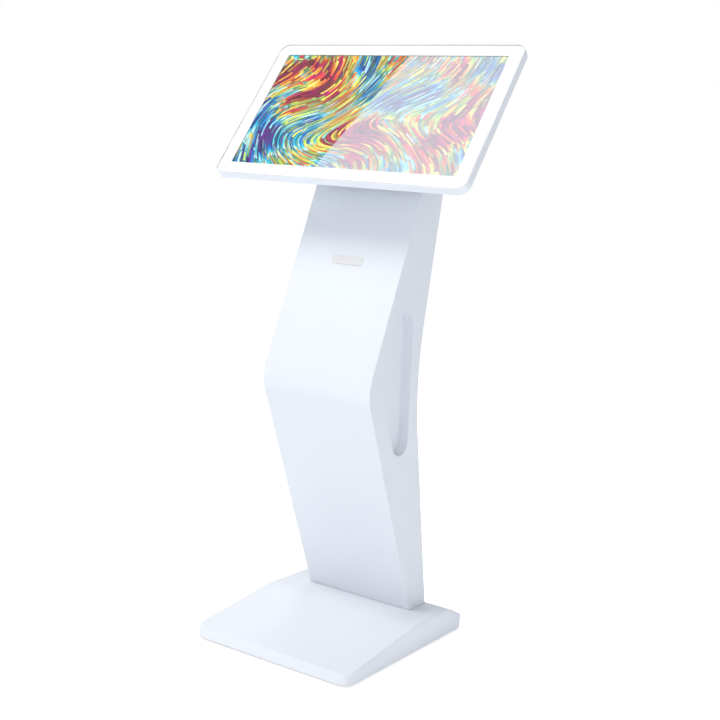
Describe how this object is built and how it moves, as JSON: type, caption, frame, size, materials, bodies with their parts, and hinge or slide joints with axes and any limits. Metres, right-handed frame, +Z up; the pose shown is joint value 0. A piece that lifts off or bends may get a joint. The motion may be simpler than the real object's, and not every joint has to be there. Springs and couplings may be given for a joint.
{
  "type": "touchscreen kiosk",
  "caption": "Free-standing touchscreen kiosk: tilted landscape display head on a kneed sheet-steel column with side recesses, rear door and a sloped weighted base.",
  "frame": {"origin": "on the floor under the middle of the base", "axes": "+Z up, front of the kiosk towards -Y, +X to the right of someone facing the screen"},
  "size_m": [0.5896, 0.468, 1.2456],
  "materials": {
    "white_powder_coat": "fine satin powder coat on folded steel sheet",
    "black_steel": "black painted plate",
    "rubber_black": "matt black rubber",
    "rubber_feet": "matt black rubber",
    "zinc_steel": "bright zinc plate",
    "hinge_steel": "white painted steel",
    "lock_chrome": "bright nickel",
    "badge_plastic": "smooth warm grey, blank",
    "black_plastic": "fine moulded texture",
    "rocker_plastic": "smooth red",
    "cover_glass": "clear, polished",
    "sensor_glass": "clear",
    "white_print": "white ceramic ink behind glass",
    "picture": null,
    "bonding_foam": "closed-cell foam tape",
    "light_guide_acrylic": "frosted acrylic",
    "circuit_board": "green solder mask",
    "supply_case": "plain sheet"
  },
  "bodies": {
    "stand": {"badge_plate": "badge_plastic", "base_cover": "white_powder_coat", "base_plate": "black_steel", "bonding_tape": "bonding_foam", "column_foot_flange": "white_powder_coat", "column_front_panel": "white_powder_coat", "column_left_panel": "white_powder_coat", "column_rear_panel": "white_powder_coat", "column_right_panel": "white_powder_coat", "column_top_plate": "white_powder_coat", "cover_screws": "zinc_steel", "display_cell": "picture", "door_frame": "white_powder_coat", "door_hinge_frame_leaves": "hinge_steel", "door_hinge_pins": "zinc_steel", "door_seal": "rubber_black", "fan_frame": "black_plastic", "flange_bolts": "zinc_steel", "foot_weld_nuts": "zinc_steel", "glass_border": "white_print", "head_bolts": "zinc_steel", "head_frame": "white_powder_coat", "head_mount_plate": "zinc_steel", "head_nuts": "zinc_steel", "lead_grommet": "rubber_black", "light_guide": "light_guide_acrylic", "main_board": "circuit_board", "module_bezel": "zinc_steel", "module_tray": "zinc_steel", "panel_screws": "zinc_steel", "power_inlet": "black_plastic", "power_supply": "supply_case", "rear_cover": "white_powder_coat", "rear_hatch": "white_powder_coat", "recess_pan_left": "white_powder_coat", "recess_pan_right": "white_powder_coat", "rocker_frame": "black_plastic", "speakers": "black_plastic", "spine_rails": "zinc_steel", "supply_box": "black_plastic", "supply_lead": "rubber_black", "touch_glass": "cover_glass", "touch_sensor": "sensor_glass"},
    "door": {"rear_door": "white_powder_coat", "door_hinge_door_leaves": "hinge_steel", "lock_barrel": "lock_chrome", "lock_nut": "zinc_steel"},
    "lock_rotor": {"lock_plug": "lock_chrome", "lock_cam": "zinc_steel"},
    "rocker": {"rocker_paddle": "rocker_plastic"},
    "fan": {"fan_rotor": "black_plastic"},
    "power_button": {"power_key": "black_plastic"},
    "foot_pad_front_left": {"foot_pad_front_left": "rubber_feet"},
    "foot_stem_front_left": {"foot_stem_front_left": "zinc_steel"},
    "foot_pad_front_right": {"foot_pad_front_right": "rubber_feet"},
    "foot_stem_front_right": {"foot_stem_front_right": "zinc_steel"},
    "foot_pad_rear_left": {"foot_pad_rear_left": "rubber_feet"},
    "foot_stem_rear_left": {"foot_stem_rear_left": "zinc_steel"},
    "foot_pad_rear_right": {"foot_pad_rear_right": "rubber_feet"},
    "foot_stem_rear_right": {"foot_stem_rear_right": "zinc_steel"}
  },
  "joints": [
    {"name": "rear_door_hinge", "type": "hinge", "parent": "stand", "child": "door", "pos_m": [-0.10075, 0.09984, 0.2928], "axis": [0, -0.2526, 0.9676], "range_deg": [0, 115]},
    {"name": "door_lock_turn", "type": "hinge", "parent": "door", "child": "lock_rotor", "pos_m": [0.075, 0.09646, 0.29192], "axis": [0, -0.9676, -0.2526], "range_deg": [0, 90]},
    {"name": "power_rocker", "type": "hinge", "parent": "stand", "child": "rocker", "pos_m": [0.03, 0.14217, 0.11678], "axis": [-1, 0, 0], "range_deg": [0, 16]},
    {"name": "fan_spin", "type": "hinge", "parent": "stand", "child": "fan", "pos_m": [0.205, 0.02551, 1.11832], "axis": [0, -0.8192, 0.5736], "continuous": true},
    {"name": "power_key_press", "type": "slide", "parent": "stand", "child": "power_button", "axis": [0, -0.8192, 0.5736], "range_m": [0, 0.001], "stiffness_N_per_m": 400},
    {"name": "foot_front_left_travel", "type": "slide", "parent": "stand", "child": "foot_pad_front_left", "axis": [0, 0, -1], "range_m": [0, 0.01]},
    {"name": "foot_front_left_turn", "type": "hinge", "parent": "foot_pad_front_left", "child": "foot_stem_front_left", "pos_m": [-0.155, -0.2, 0.01], "axis": [0, 0, -1], "range_deg": [0, 2401]},
    {"name": "foot_front_right_travel", "type": "slide", "parent": "stand", "child": "foot_pad_front_right", "axis": [0, 0, -1], "range_m": [0, 0.01]},
    {"name": "foot_front_right_turn", "type": "hinge", "parent": "foot_pad_front_right", "child": "foot_stem_front_right", "pos_m": [0.155, -0.2, 0.01], "axis": [0, 0, -1], "range_deg": [0, 2401]},
    {"name": "foot_rear_left_travel", "type": "slide", "parent": "stand", "child": "foot_pad_rear_left", "axis": [0, 0, -1], "range_m": [0, 0.01]},
    {"name": "foot_rear_left_turn", "type": "hinge", "parent": "foot_pad_rear_left", "child": "foot_stem_rear_left", "pos_m": [-0.155, 0.2, 0.01], "axis": [0, 0, -1], "range_deg": [0, 2401]},
    {"name": "foot_rear_right_travel", "type": "slide", "parent": "stand", "child": "foot_pad_rear_right", "axis": [0, 0, -1], "range_m": [0, 0.01]},
    {"name": "foot_rear_right_turn", "type": "hinge", "parent": "foot_pad_rear_right", "child": "foot_stem_rear_right", "pos_m": [0.155, 0.2, 0.01], "axis": [0, 0, -1], "range_deg": [0, 2401]}
  ],
  "couplings": [
    {"joint": "foot_front_left_turn", "follows": "foot_front_left_travel", "rad_per_m": 4188.8},
    {"joint": "foot_front_right_turn", "follows": "foot_front_right_travel", "rad_per_m": 4188.8},
    {"joint": "foot_rear_left_turn", "follows": "foot_rear_left_travel", "rad_per_m": 4188.8},
    {"joint": "foot_rear_right_turn", "follows": "foot_rear_right_travel", "rad_per_m": 4188.8}
  ]
}
